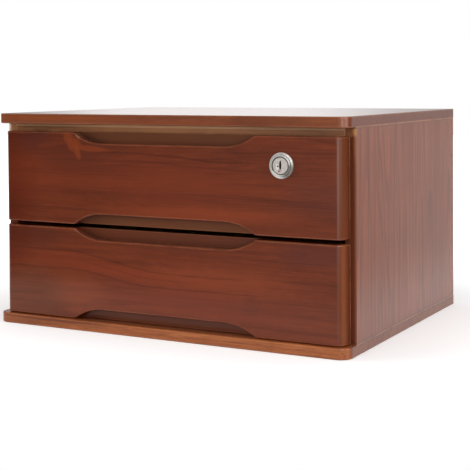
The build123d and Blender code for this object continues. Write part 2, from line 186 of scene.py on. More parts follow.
class NodeGroup(Wiring):
    """A shared shader effect: a node group with named inputs and outputs."""

    def __init__(self, name: str) -> None:
        """Start an empty group.

        Args:
            name: Its name.
        """
        super().__init__(bpy.data.node_groups.new(name, "ShaderNodeTree"))
        self.entry = self.tree.nodes.new("NodeGroupInput")
        self.exit = self.tree.nodes.new("NodeGroupOutput")

    def takes(self, kind: str, *names: str) -> list[Socket]:
        """Add inputs of one kind.

        Args:
            kind: Float, Vector or Color.
            names: Their names.

        Returns:
            Their sockets inside the group.
        """
        for name in names:
            self.tree.interface.new_socket(name=name, in_out="INPUT", socket_type="NodeSocket" + kind)
        return [self.entry.outputs[name] for name in names]

    def gives(self, name: str, kind: str, source: Socket) -> None:
        """Add an output of a kind (Float, Vector or Color) and feed it."""
        self.tree.interface.new_socket(name=name, in_out="OUTPUT", socket_type="NodeSocket" + kind)
        self.feed(self.exit.inputs[name], source)


def wood_grain_group() -> Tree:
    """Build the grain of stained wood: clouds, growth lines, fibres, flecks, pores and ripples.

    The fibres run along X of the place. A slow noise bends the place sideways. Growth lines are
    the contour lines of a noise that is stretched along the fibres: the noise times a count, less
    its whole part, makes a saw, and the line is dark where the saw is near its step. Fibres,
    flecks and pores are the same noise drawn out much finer.

    Returns:
        The group.
    """
    group = NodeGroup("stained_grain")
    (place,) = group.takes("Vector", "Place")
    ground, shade, glow = group.takes("Color", "Ground", "Shade", "Glow")
    count, line_depth, fibre_depth, cloud_depth, sheen = group.takes(
        "Float", "Lines", "Line Depth", "Fibre Depth", "Cloud Depth", "Gloss"
    )
    sway = 0.008
    bend = group.noise(place, (3.0, 7.0, 7.0), detail=1.0)
    sideways = group.product(group.math("SUBTRACT", bend, 0.5), sway)
    bent = group.vector("ADD", place, group.node("CombineXYZ", None, sideways, sideways).outputs[0])

    cloud = group.noise(bent, (4.5, 22.0, 22.0), detail=3.0, roughness=0.55)
    rings = group.noise(bent, (1.3, 17.0, 17.0), detail=1.5, roughness=0.4)
    saw = group.math("FRACT", group.product(rings, count))
    broken = group.span(group.noise(bent, (9.0, 90.0, 90.0)), 0.3, 0.7, 0.4, 1.0)
    line = group.product(group.hump(saw, (0.45, 0.93), (0.95, 1.0)), broken)
    fibre = group.noise(bent, (26.0, 900.0, 900.0), detail=3.0, roughness=0.65)
    streak = group.noise(bent, (3.0, 240.0, 240.0), detail=3.0, roughness=0.6)
    fleck = group.noise(bent, (42.0, 330.0, 330.0))
    pore = group.span(group.noise(bent, (110.0, 1500.0, 1500.0), detail=1.0), 0.62, 0.74)
    ripple = group.noise(place, (30.0, 6.0, 6.0), roughness=0.4)

    colour = group.mix(group.product(group.span(cloud, 0.35, 0.68), cloud_depth), ground, glow)
    for share, stain in (
        (group.product(group.span(fleck, 0.5, 0.72, 0.0, 1.6), fibre_depth), glow),
        (group.product(line, line_depth), shade),
        (group.product(group.span(streak, 0.45, 0.72), fibre_depth), shade),
        (group.product(group.span(fibre, 0.35, 0.75, 0.0, 0.7), fibre_depth), shade),
        (group.product(pore, fibre_depth, 0.8), shade),
    ):
        colour = group.mix(share, colour, stain)
    lit = group.scaled(colour, group.span(ripple, 0.3, 0.7, 0.97, 1.03))
    height = group.math("SUBTRACT", group.product(fibre, 0.6), group.product(pore, 0.8))
    gloss = group.math("MULTIPLY_ADD", group.math("SUBTRACT", streak, 0.5), 0.16, sheen, clamp=True)
    group.gives("Color", "Color", lit)
    group.gives("Roughness", "Float", gloss)
    group.gives("Height", "Float", height)
    return group.tree


def edge_rub_group() -> Tree:
    """Build the rub of an outer edge, where the stain is thin, and painted shade in inner corners.

    The normal that a wide bevel gives leaves the true one near an edge only, so one less the dot
    product of both is a mask of the edges. A noise breaks it up. The painted shade darkens inner
    corners, where little of the surroundings within some millimetres is open. The normal that is
    given out has the edges rounded a little, by a narrower bevel.

    Returns:
        The group.
    """
    rounding, rub_reach, corner_shade_reach = 0.8 * MILLIMETRE, 2.1 * MILLIMETRE, 7.0 * MILLIMETRE
    group = NodeGroup("edge_rub")
    (place,) = group.takes("Vector", "Place")
    (amount,) = group.takes("Float", "Amount")
    narrow = group.node("Bevel", rounding, samples=4).outputs["Normal"]
    wide = group.node("Bevel", rub_reach, samples=8).outputs["Normal"]
    same = group.vector("DOT_PRODUCT", wide, group.node("NewGeometry").outputs["Normal"])
    edge = group.span(group.math("SUBTRACT", 1.0, same), 0.003, 0.06)
    worn = group.span(group.noise(place, (60.0, 60.0, 60.0), detail=3.0), 0.3, 0.6, 0.4, 1.0)
    # Painted shade: inner corners darken where little of the surroundings within some millimetres is open
    open_share = group.node("AmbientOcclusion", None, corner_shade_reach, samples=6, only_local=True)
    painted_corner_shade = group.span(open_share.outputs["AO"], 0.35, 0.95, 1.0, 0.0)
    group.gives("Mask", "Float", group.product(edge, worn, group.math("SUBTRACT", 1.0, painted_corner_shade), amount))
    group.gives("Corner Shade", "Float", painted_corner_shade)
    group.gives("Normal", "Vector", narrow)
    return group.tree


def growth_line_group() -> Tree:
    """Build one long growth line on a drawer front, from values in millimetres.

    Its height at X is level + tilt * X + step * the smooth rise from 0 to 1 between two places of
    X. The line is dark where the distance from that height, roughened by a noise, is below its
    half width, and it fades towards both ends of its stretch of X.

    Returns:
        The group.
    """
    roughness, fade = 3.0, 30.0
    group = NodeGroup("growth_line")
    (place,) = group.takes("Vector", "Place")
    level, tilt, step, begin, end, half_width, left, right = group.takes(
        "Float", "Level", "Tilt", "Step", "Begin", "End", "Half Width", "Left", "Right"
    )
    across, _, up = group.parts(group.scaled(place, PER_METRE))
    slope = group.math("MULTIPLY_ADD", across, tilt, level)
    centre = group.math("MULTIPLY_ADD", group.span(across, begin, end), step, slope)
    rough = group.noise(place, (30.0, 60.0, 300.0), detail=3.0)
    shaken = group.math("MULTIPLY_ADD", group.math("SUBTRACT", rough, 0.5), roughness, up)
    gap = group.math("ABSOLUTE", group.math("SUBTRACT", shaken, centre))
    band = group.span(group.math("DIVIDE", gap, half_width), 0.0, 1.0, 1.0, 0.0)
    rise = group.span(group.math("SUBTRACT", across, left), 0.0, fade)
    fall = group.span(group.math("SUBTRACT", right, across), 0.0, fade)
    group.gives("Mask", "Float", group.product(band, rise, fall))
    return group.tree


def soft_patch_group() -> Tree:
    """Build a soft oval patch with a ragged rim, for flames, knots and dull places in the stain, and for
    painted light and shade.

    Its values are in millimetres. The place is moved to the patch's centre, turned by its angle
    in the XZ plane and divided by its half sizes. The patch is the part whose length, roughened
    by a noise, is below one, and whose Y is before its reach.

    Returns:
        The group.
    """
    group = NodeGroup("soft_patch")
    (place,) = group.takes("Vector", "Place")
    centre_x, centre_z, half_length, half_width, turn, softness, raggedness, reach = group.takes(
        "Float", "X", "Z", "Half Length", "Half Width", "Turn", "Softness", "Raggedness", "Reach"
    )
    across, deep, up = group.parts(group.scaled(place, PER_METRE))
    aside = group.math("SUBTRACT", across, centre_x)
    above = group.math("SUBTRACT", up, centre_z)
    cosine, sine = group.math("COSINE", turn), group.math("SINE", turn)
    along = group.math("ADD", group.product(aside, cosine), group.product(above, sine))
    athwart = group.math("SUBTRACT", group.product(above, cosine), group.product(aside, sine))
    shares = (group.math("DIVIDE", along, half_length), group.math("DIVIDE", athwart, half_width))
    away = group.vector("LENGTH", group.node("CombineXYZ", *shares).outputs[0])
    ragged = group.noise(place, (70.0, 70.0, 210.0), detail=3.0, roughness=0.6)
    shaken = group.math("MULTIPLY_ADD", group.math("SUBTRACT", ragged, 0.5), raggedness, away)
    solid_to, gone_from = group.math("SUBTRACT", 1.0, softness), group.math("ADD", 1.0, softness)
    inside = group.span(shaken, solid_to, gone_from, 1.0, 0.0)
    group.gives("Mask", "Float", group.product(inside, group.math("LESS_THAN", deep, reach)))
    return group.tree


def fine_wear_group() -> Tree:
    """Build the fine wear of plated metal: faint clouds and scattered specks.

    Returns:
        The group.
    """
    group = NodeGroup("fine_wear")
    (place,) = group.takes("Vector", "Place")
    clean, dull = group.takes("Color", "Clean", "Dull")
    speckle, gloss = group.takes("Float", "Speckle", "Gloss")
    cloud = group.noise(place, (420.0, 420.0, 420.0), detail=4.0, roughness=0.6)
    speck = group.span(group.noise(place, (2600.0, 2600.0, 2600.0), detail=1.0), 0.56, 0.68)
    worn = group.math("MULTIPLY_ADD", speck, 0.6, group.span(cloud, 0.4, 0.75))
    group.gives("Color", "Color", group.mix(group.product(worn, speckle), clean, dull))
    group.gives("Roughness", "Float", group.math("MULTIPLY_ADD", cloud, 0.2, gloss, clamp=True))
    group.gives("Height", "Float", group.math("ADD", cloud, speck))
    return group.tree


@dataclass(frozen=True)
class Groups:
    """The shared shader effects, built once."""

    grain: Tree = field(default_factory=wood_grain_group)
    rub: Tree = field(default_factory=edge_rub_group)
    line: Tree = field(default_factory=growth_line_group)
    patch: Tree = field(default_factory=soft_patch_group)
    wear: Tree = field(default_factory=fine_wear_group)


@dataclass(frozen=True)
class GrowthLine:
    """One placed growth line: millimetres of the frame, a slope and a share of the shade."""

    level: float
    tilt: float
    step: float
    begin: float
    end: float
    half_width: float
    left: float
    right: float
    depth: float


@dataclass(frozen=True)
class Patch:
    """One placed soft patch of another colour: millimetres of the frame, a share and radians.

    It lies where Y is below its reach, which is everywhere unless one is given.
    """

    x: float
    z: float
    half_length: float
    half_width: float
    colour: Colour
    depth: float
    softness: float = 0.6
    turn: float = 0.0
    reach: float = 10000.0
    raggedness: float = 0.7


def both_sides(patch: Patch) -> tuple[Patch, Patch]:
    """Give a patch on the right side and its mirrored twin on the left."""
    return patch, replace(patch, x=-patch.x)


class Surface(Wiring):
    """A material: its Principled shader, and the object's coordinates with a shift of its own."""

    def __init__(self, name: str, shift: Point = (0.0, 0.0, 0.0), fibres: Fibres = Fibres.ACROSS) -> None:
        """Start a material.

        Args:
            name: Its name.
            shift: Where the pattern is moved to, so that no two boards look alike.
            fibres: Which way the fibres run.
        """
        self.material = bpy.data.materials.new(name)
        self.material.use_nodes = True
        super().__init__(self.material.node_tree)
        self.shader = self.tree.nodes["Principled BSDF"]
        self.object_place = self.node("TexCoord").outputs["Object"]
        self.grain_place = self.node("Mapping", self.object_place, shift, fibres.value).outputs[0]

    def use(self, group: Tree, **inputs: object) -> bpy.types.Node:
        """Place a shared group and feed its inputs.

        Args:
            group: The group.
            inputs: Values by input name, in small letters with _ for a space.

        Returns:
            The group's node.
        """
        made = self.node("Group", node_tree=group)
        for name, value in inputs.items():
            self.feed(made.inputs[name.replace("_", " ").title()], value)
        return made

    def set(self, **values: object) -> None:
        """Set or feed sockets of the Principled shader, with _ for a space."""
        for name, value in values.items():
            self.feed(self.shader.inputs[name.replace("_", " ")], value)

    def marked(self, colour: Socket, marks: list[tuple[Tree, object, Colour]]) -> Socket:
        """Lay growth lines and patches over a colour.

        Args:
            colour: The colour below.
            marks: The group, the line or patch and the colour of each, in the order of laying.

        Returns:
            The colour with its marks.
        """
        for group, mark, stain in marks:
            values = {name: value for name, value in vars(mark).items() if name not in ("colour", "depth")}
            mask = self.use(group, place=self.object_place, **values).outputs["Mask"]
            colour = self.mix(self.product(mask, mark.depth), colour, stain)
        return colour

    def bump(self, height: object, depth: float, normal: object = None) -> None:
        """Raise the surface a little by a height.

        Args:
            height: The height, about 0 to 1.
            depth: What one unit of height is, in millimetres.
            normal: A normal to start from.
        """
        made = self.node("Bump")
        for name, value in (("Height", height), ("Distance", depth * MILLIMETRE), ("Normal", normal)):
            if value is not None:
                self.feed(made.inputs[name], value)
        self.set(Normal=made.outputs[0])


@dataclass(frozen=True)
class FrontStain:
    """How the stain of a drawer front changes in its finger scoops, and the painted shade and highlight
    round its ends.

    Everything is in millimetres: depths count back from the front's face, and insets count in
    from its end. Shares say how strong a change is.
    """

    pocket: Colour
    # Share of the painted highlight across the rounded ends
    band_share: float
    pocket_depth: Ramp = (0.4, 2.0)
    pocket_half: float = 120.0
    pocket_share: float = 0.75
    pocket_rub_lost: float = 0.85
    # The end colour darkens the rounded ends as painted shade
    end: Colour = (98, 48, 24)
    end_inset: Ramp = (5.0, 7.0, 1.0, 0.0)
    end_share: float = 0.85
    round_inset: float = 9.5
    # The band is a lighter stripe across the rounded ends, a painted highlight
    band: Colour = (156, 84, 42)
    band_rise: Ramp = (1.5, 3.5)
    band_fall: Ramp = (5.0, 9.0)
    # The back of the rounded ends gets painted shade in the wood's dark stain
    back_depth: Ramp = (10.0, 14.5)
    back_share: float = 0.7
    matt_inset: Ramp = (2.3, 4.5, 0.15, 1.0)

    def lay(self, made: Surface, colour: Socket, shade: Colour) -> tuple[Socket, Socket, Socket]:
        """Lay the changes over a colour.

        Args:
            made: The material.
            colour: The colour below.
            shade: The wood's dark stain.

        Returns:
            The new colour, the share of the lacquer that is left and the share of the rub.
        """
        across, deep, _ = made.parts(made.scaled(made.object_place, PER_METRE))
        aside = made.math("ABSOLUTE", across)
        depth = made.math("SUBTRACT", deep, FRONT_FACE * PER_METRE)
        inset = made.math("SUBTRACT", FRONT_END * PER_METRE, aside)
        within = made.math("LESS_THAN", aside, self.pocket_half)
        inner = made.product(made.span(depth, *self.pocket_depth), within)
        rounded = made.math("LESS_THAN", inset, self.round_inset)
        # A painted highlight across the rounded end, and painted shade towards its back
        painted_highlight = made.product(made.hump(depth, self.band_rise, self.band_fall), rounded)
        back = made.product(made.span(depth, *self.back_depth), rounded)
        for mask, share, stain in (
            (inner, self.pocket_share, self.pocket),
            # Painted shade darkening the rounded end
            (made.span(inset, *self.end_inset), self.end_share, self.end),
            (painted_highlight, self.band_share, self.band),
            (back, self.back_share, shade),
        ):
            colour = made.mix(made.product(mask, share), colour, stain)
        rub_left = made.math("MULTIPLY_ADD", inner, -self.pocket_rub_lost, 1.0)
        return colour, made.span(inset, *self.matt_inset), rub_left


@dataclass(frozen=True)
class WoodFinish:
    """A stained and lacquered wood.

    lacquer is the coat of upright faces and top_lacquer that of faces that look up. matt_edge is
    the depth in millimetres from the case sides' front edge in which the coat is nearly gone.
    """

    ground: Colour
    shade: Colour
    glow: Colour
    rub: Colour
    lines: float = 9.0
    line_depth: float = 0.4
    fibre_depth: float = 0.3
    cloud_depth: float = 0.6
    roughness: float = 0.34
    rub_amount: float = 0.7
    # Share of the painted shade in inner corners
    crease_depth: float = 0.6
    lacquer: float = 0.7
    top_lacquer: float = 1.0
    lacquer_roughness: float = 0.16
    specular: float = 0.1
    grain_height: float = 0.05
    growth: tuple[GrowthLine, ...] = ()
    patches: tuple[Patch, ...] = ()
    front: FrontStain | None = None
    corner_sheen: bool = False
    matt_edge: float | None = None

    def coat(self, made: Surface) -> object:
        """Work out the weight of the lacquer.

        Args:
            made: The material.

        Returns:
            A number where it is the same all over, or else its socket.
        """
        if self.lacquer == self.top_lacquer:
            return self.lacquer
        turned, _, up = made.parts(made.node("NewGeometry").outputs["Normal"])
        coat = made.span(up, 0.5, 1.0, self.lacquer, self.top_lacquer)
        if self.matt_edge is not None:
            soft, left_over = 0.8 * MILLIMETRE, 0.1
            edge = SIDE_EDGE + self.matt_edge * MILLIMETRE
            _, deep, _ = made.parts(made.object_place)
            coat = made.product(coat, made.span(deep, edge, edge + soft, left_over, 1.0))
        if self.corner_sheen:
            # turned is 0 on the front and 1 on the right side. On the rounded corner between
            # them the lacquer is weaker at first, then stronger
            change = 0.7
            weaker = made.hump(turned, (0.1, 0.25), (0.42, 0.60))
            stronger = made.hump(turned, (0.45, 0.62), (0.86, 0.95))
            lowered = made.math("MULTIPLY_ADD", weaker, -change, 1.0)
            coat = made.product(coat, made.math("MULTIPLY_ADD", stronger, change, lowered))
        return coat

    def material(self, name: str, groups: Groups, fibres: Fibres, shift: Point) -> bpy.types.Material:
        """Make the material of one board.

        Args:
            name: The material's name.
            groups: The shared effects.
            fibres: Which way this board's fibres run.
            shift: The pattern's own shift.

        Returns:
            The material.
        """
        made = Surface(name, shift, fibres)
        own = ("ground", "shade", "glow", "lines", "line_depth", "fibre_depth", "cloud_depth")
        values = {value: getattr(self, value) for value in own}
        grain = made.use(groups.grain, place=made.grain_place, gloss=self.roughness, **values)
        marks = [(groups.patch, patch, patch.colour) for patch in self.patches]
        marks += [(groups.line, line, self.shade) for line in self.growth]
        colour = made.marked(grain.outputs["Color"], marks)
        coat = self.coat(made)
        rub_amount = self.rub_amount
        if self.front is not None:
            colour, lacquer_left, rub_left = self.front.lay(made, colour, self.shade)
            coat = made.product(coat, lacquer_left)
            rub_amount = made.product(rub_left, self.rub_amount)
        rub = made.use(groups.rub, place=made.object_place, amount=rub_amount)
        # Painted shade in inner corners, laid in the wood's dark stain
        corner_shaded = made.mix(made.product(rub.outputs["Corner Shade"], self.crease_depth), colour, self.shade)
        made.set(
            Base_Color=made.mix(rub.outputs["Mask"], corner_shaded, self.rub),
            Roughness=grain.outputs["Roughness"],
            Specular_IOR_Level=self.specular,
            Coat_Weight=coat,
            Coat_Roughness=self.lacquer_roughness,
        )
        made.bump(grain.outputs["Height"], self.grain_height, rub.outputs["Normal"])
        return made.material


@dataclass(frozen=True)
class GrooveShade:
    """One painted dark ring of shade round the lock's axis, where a groove lies between turned parts: its
    radius, half width and depth of colour.
    """

    radius: float
    half_width: float
    depth: float


@dataclass(frozen=True)
class MetalFinish:
    """A plated or bright metal. What lies further back than a given Y in metres is painted dark, as shade in
    a hollow.
    """

    clean: Colour
    dull: Colour
    speckle: float = 0.3
    roughness: float = 0.22
    grit: float = 0.01
    metallic: float = 1.0
    # Painted dark rings of shade in the grooves round the lock's axis, in the colour below
    rings: tuple[GrooveShade, ...] = ()
    ring_colour: Colour = (34, 30, 28)
    patches: tuple[Patch, ...] = ()
    # Painted shade behind a given Y, such as inside the keyway
    dark_behind: float | None = None
    dark_colour: Colour = (26, 22, 20)

    def ringed(self, made: Surface, colour: Socket) -> Socket:
        """Lay the painted rings of shade over a colour.

        Args:
            made: The material.
            colour: The colour below.

        Returns:
            The colour with its painted rings of shade.
        """
        offset = made.vector("SUBTRACT", made.object_place, LOCK_AXIS)
        radius = made.vector("LENGTH", made.vector("MULTIPLY", offset, (PER_METRE, 0.0, PER_METRE)))
        for groove in self.rings:
            gap = made.math("ABSOLUTE", made.math("SUBTRACT", radius, groove.radius))
            band = made.span(gap, 0.4 * groove.half_width, groove.half_width, groove.depth, 0.0)
            colour = made.mix(band, colour, self.ring_colour)
        return colour

    def material(self, name: str, groups: Groups) -> bpy.types.Material:
        """Make the material.

        Args:
            name: The material's name.
            groups: The shared effects.

        Returns:
            The material.
        """
        made = Surface(name)
        own = {value: getattr(self, value) for value in ("clean", "dull", "speckle")}
        wear = made.use(groups.wear, place=made.object_place, gloss=self.roughness, **own)
        colour = wear.outputs["Color"]
        if self.rings:
            colour = self.ringed(made, colour)
        colour = made.marked(colour, [(groups.patch, patch, patch.colour) for patch in self.patches])
        # Painted shade: what lies further back is dark
        if self.dark_behind is not None:
            _, deep, _ = made.parts(made.object_place)
            in_shade = made.math("GREATER_THAN", deep, self.dark_behind)
            colour = made.mix(in_shade, colour, self.dark_colour)
        made.set(Base_Color=colour, Metallic=self.metallic, Roughness=wear.outputs["Roughness"])
        made.bump(wear.outputs["Height"], self.grit)
        return made.material


# Colours that several finishes share
RED_GLOW = (128, 54, 30)
DULL_BROWN = (96, 58, 38)
DARK_RED = (88, 40, 28)
DEEP_RED = (84, 26, 8)
FLAME = (132, 59, 29)
SEAM = (80, 50, 44)
TOP_SEAM = (96, 54, 40)

FRONT = WoodFinish(
    ground=(114, 51, 28),
    shade=(66, 30, 20),
    glow=(128, 58, 30),
    rub=(204, 134, 98),
    fibre_depth=0.4,
    rub_amount=1.0,
    lacquer=0.5,
)
UPPER_FRONT = replace(
    FRONT,
    # The scoops' colour, and the share of the painted highlight on the rounded ends
    front=FrontStain((118, 72, 45), 0.1),
    growth=(
        GrowthLine(177.5, 0.0, -6.5, -35.0, 80.0, 1.6, -95.0, 120.0, 0.5),
        GrowthLine(170.0, 0.0, -6.0, -35.0, 80.0, 1.0, -60.0, 160.0, 0.3),
        GrowthLine(187.0, -0.01, 0.0, 0.0, 100.0, 0.8, 100.0, 190.0, 0.25),
        GrowthLine(174.5, -0.01, 0.0, 0.0, 100.0, 0.8, 140.0, 190.0, 0.25),
        GrowthLine(141.0, 0.0, -3.0, 0.0, 100.0, 1.0, 0.0, 190.0, 0.3),
        GrowthLine(135.0, 0.0, -2.0, 0.0, 100.0, 1.0, 20.0, 190.0, 0.25),
    ),
    patches=(
        Patch(-190.0, 150.0, 34.0, 70.0, DEEP_RED, 0.75, softness=0.7),
        # Painted shade at the top left of the upper front, under the top board's overhang
        Patch(-151.0, 189.0, 20.0, 10.0, (74, 36, 32), 0.55, softness=0.7, turn=0.3),
        Patch(-140.0, 155.0, 60.0, 26.0, RED_GLOW, 0.35),
        Patch(45.0, 120.5, 95.0, 7.5, (144, 64, 34), 0.6),
        Patch(168.0, 143.0, 32.0, 18.0, (96, 48, 38), 0.45),
        Patch(10.0, 150.0, 90.0, 20.0, RED_GLOW, 0.45),
        Patch(-104.0, 174.0, 45.0, 16.0, DARK_RED, 0.55),
        Patch(-108.0, 192.5, 5.2, 7.0, FLAME, 0.8, softness=0.3),
        Patch(-101.0, 184.5, 7.8, 6.6, FLAME, 0.85, softness=0.35),
        Patch(-96.5, 176.5, 3.2, 6.2, FLAME, 0.85, softness=0.35, turn=0.35),
        Patch(-80.0, 180.6, 21.0, 3.0, FLAME, 0.8, softness=0.35, turn=-0.07),
        Patch(-97.2, 194.5, 5.0, 1.6, (160, 110, 84), 0.55, softness=0.4, turn=-0.9),
    ),
)
LOWER_FRONT = replace(
    FRONT,
    # The scoops' colour, and the share of the painted highlight on the rounded ends
    front=FrontStain((106, 57, 36), 0.4),
    growth=(
        GrowthLine(78.5, 0.0, -16.0, -115.0, 5.0, 1.4, -200.0, 100.0, 0.4),
        GrowthLine(59.8, 0.0, -11.2, -110.0, -5.0, 1.4, -200.0, 120.0, 0.4),
        GrowthLine(70.0, 0.0, -14.0, -110.0, 0.0, 1.0, -150.0, 50.0, 0.25),
        GrowthLine(82.3, 0.0, 0.0, 0.0, 100.0, 0.9, 80.0, 190.0, 0.3),
        GrowthLine(69.8, 0.0, 0.0, 0.0, 100.0, 0.9, 80.0, 190.0, 0.3),
        GrowthLine(64.0, 0.0, 0.0, 0.0, 100.0, 0.9, 100.0, 190.0, 0.25),
        GrowthLine(57.6, 0.0, 0.0, 0.0, 100.0, 0.9, 100.0, 190.0, 0.3),
    ),
    patches=(
        Patch(-165.0, 90.0, 50.0, 14.0, (84, 40, 28), 0.55),
        Patch(-190.0, 84.0, 30.0, 34.0, DEEP_RED, 0.6, softness=0.7),
        Patch(162.0, 89.0, 36.0, 9.0, (90, 45, 38), 0.55),
        Patch(55.0, 60.0, 90.0, 13.0, (146, 68, 38), 0.55),
        Patch(-100.0, 36.0, 36.0, 15.0, (142, 70, 42), 0.5),
        Patch(-60.0, 63.0, 100.0, 7.0, RED_GLOW, 0.6, turn=-0.12),
        Patch(-155.0, 32.0, 40.0, 24.0, DULL_BROWN, 0.4, softness=0.5),
        Patch(40.0, 35.0, 100.0, 12.0, RED_GLOW, 0.4),
        Patch(97.0, 39.0, 10.0, 9.0, (100, 46, 30), 0.4, softness=0.3, turn=0.8),
    ),
)

# What the reaches of patches on a front edge go by, in millimetres of Y
BOARD_EDGE = 2.0 - HALF_DEPTH * PER_METRE
EDGE = SIDE_EDGE * PER_METRE

BOARD = WoodFinish(
    ground=(126, 68, 43),
    shade=(84, 40, 26),
    glow=(146, 80, 48),
    rub=(190, 126, 92),
    lacquer=0.5,
    corner_sheen=True,
    patches=(
        Patch(195.5, 210.0, 1.0, 20.0, (104, 56, 42), 0.7, softness=0.2, raggedness=0.0),
        Patch(-125.0, 211.2, 80.0, 2.0, (156, 76, 36), 0.5, reach=BOARD_EDGE),
        Patch(20.0, 207.8, 70.0, 1.2, (146, 70, 40), 0.4, reach=BOARD_EDGE),
    ),
)
BASE = WoodFinish(
    ground=(162, 91, 51),
    shade=(100, 48, 28),
    glow=(184, 110, 64),
    rub=(196, 128, 84),
    lines=14.0,
    line_depth=0.5,
    fibre_depth=0.7,
    lacquer=0.5,
    patches=(
        Patch(195.5, 5.0, 1.0, 20.0, (110, 62, 46), 0.7, softness=0.2, raggedness=0.0),
        Patch(195.5, 9.6, 2.0, 1.0, SEAM, 0.8, softness=0.3, raggedness=0.1),
    ),
)
SIDE = WoodFinish(
    ground=(136, 68, 40),
    shade=(84, 38, 26),
    glow=(146, 78, 46),
    rub=(190, 112, 62),
    lines=16.0,
    line_depth=0.5,
    fibre_depth=0.55,
    rub_amount=0.45,
    lacquer=0.6,
    matt_edge=1.0,
    patches=(
        # Darker stain and painted shade on both side boards' front edges, where the drawer fronts' ends
        # shade them
        *both_sides(
            Patch(
                190.0, 103.0, 10.0, 300.0, (92, 44, 26), 0.85, softness=0.1, reach=EDGE + 0.3, raggedness=0.0
            )
        ),
        # Painted light on both side boards' front edges above the drawers, where the drawer fronts don't
        # shade them, and a painted highlight on the left corner
        Patch(190.0, 201.0, 8.0, 4.5, (150, 98, 62), 0.6, softness=0.2, reach=EDGE + 4.0),
        Patch(-190.0, 201.0, 8.0, 4.5, (176, 128, 88), 0.7, softness=0.2, reach=EDGE + 4.0),
        Patch(
            -194.0, 201.0, 2.2, 6.0, (236, 208, 184), 0.85, softness=0.3, reach=EDGE + 4.0, raggedness=0.2
        ),
        *both_sides(Patch(195.5, 108.0, 2.2, 200.0, (112, 60, 34), 0.7, softness=0.2, reach=EDGE + 2.0)),
        # The rubbed orange front corner of the right side, lighter towards its top with painted light above
        # the drawer
        Patch(195.0, 192.0, 2.4, 16.0, (144, 82, 44), 0.5, softness=0.5, reach=EDGE + 1.6, raggedness=0.1),
        Patch(195.0, 202.5, 2.6, 5.5, (190, 136, 84), 0.7, softness=0.4, reach=EDGE + 1.6, raggedness=0.1),
        *both_sides(Patch(195.0, 10.6, 6.0, 1.0, SEAM, 0.8, softness=0.3, raggedness=0.1)),
        *both_sides(Patch(195.0, 204.4, 6.0, 1.0, TOP_SEAM, 0.7, softness=0.3, raggedness=0.1)),
    ),
)
RAIL = WoodFinish(
    ground=(176, 116, 76),
    shade=(104, 66, 42),
    glow=(196, 134, 90),
    rub=(206, 150, 104),
    lines=16.0,
    line_depth=0.5,
    fibre_depth=0.55,
    crease_depth=0.15,
    patches=(
        # A painted pool of light in the middle of the rail, and a painted highlight along its top under the
        # top board's edge
        Patch(10.0, 200.0, 100.0, 2.8, (214, 150, 100), 0.6),
        Patch(0.0, 202.7, 220.0, 1.1, (240, 188, 140), 0.7, softness=0.3, raggedness=0.1),
    ),
)
PALE = WoodFinish(
    ground=(176, 128, 86),
    shade=(132, 88, 56),
    glow=(196, 150, 106),
    rub=(206, 164, 122),
    lacquer=0.15,
    top_lacquer=0.15,
    roughness=0.5,
)
BEECH = WoodFinish(
    ground=(206, 170, 124),
    shade=(166, 128, 86),
    glow=(220, 188, 146),
    rub=(226, 196, 156),
    lacquer=0.0,
    top_lacquer=0.0,
    roughness=0.6,
)
FLANGE = MetalFinish(
    clean=(222, 220, 214),
    dull=(150, 146, 138),
    metallic=0.3,
    # Painted dark rings of shade in the grooves
    rings=(GrooveShade(8.2, 0.55, 0.95), GrooveShade(10.1, 0.4, 0.6)),
    patches=(
        # A painted dark reflection on the rim's right and a painted highlight on its left
        Patch(137.5, 165.0, 3.5, 9.0, (96, 90, 84), 0.75, softness=0.5, turn=-0.5, raggedness=0.1),
        Patch(123.5, 161.0, 7.0, 3.0, (250, 248, 244), 0.7, softness=0.5, turn=-0.5, raggedness=0.1),
    ),
)
PLUG = MetalFinish(
    clean=(224, 214, 208),
    dull=(150, 138, 130),
    speckle=0.55,
    roughness=0.35,
    metallic=0.3,
    # A painted dark ring of shade at the gap round the plug
    rings=(GrooveShade(7.8, 0.4, 0.8),),
    patches=(
        # A painted dark slot standing for shade in the keyway, and a painted white glint to its left
        Patch(129.0, 170.2, 1.1, 4.0, (30, 26, 24), 1.0, softness=0.25, raggedness=0.05),
        Patch(126.2, 169.0, 1.2, 2.2, (255, 255, 252), 0.9, softness=0.3, raggedness=0.1),
        Patch(127.8, 165.0, 1.2, 1.1, (150, 104, 62), 0.7, softness=0.4, raggedness=0.1),
    ),
    # Painted shade inside the keyway
    dark_behind=PLUG_FACE + 0.4 * MILLIMETRE,
)
ZINC = MetalFinish(clean=(196, 198, 200), dull=(130, 132, 134), roughness=0.3)
STEEL = MetalFinish(clean=(190, 184, 170), dull=(120, 112, 98), roughness=0.28)


def dress(node: str, material: bpy.types.Material) -> None:
    """Put a material into a CAD node's first slot."""
    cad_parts[node].material_slots[0].material = material
    LOG.info("dressed %s", node)


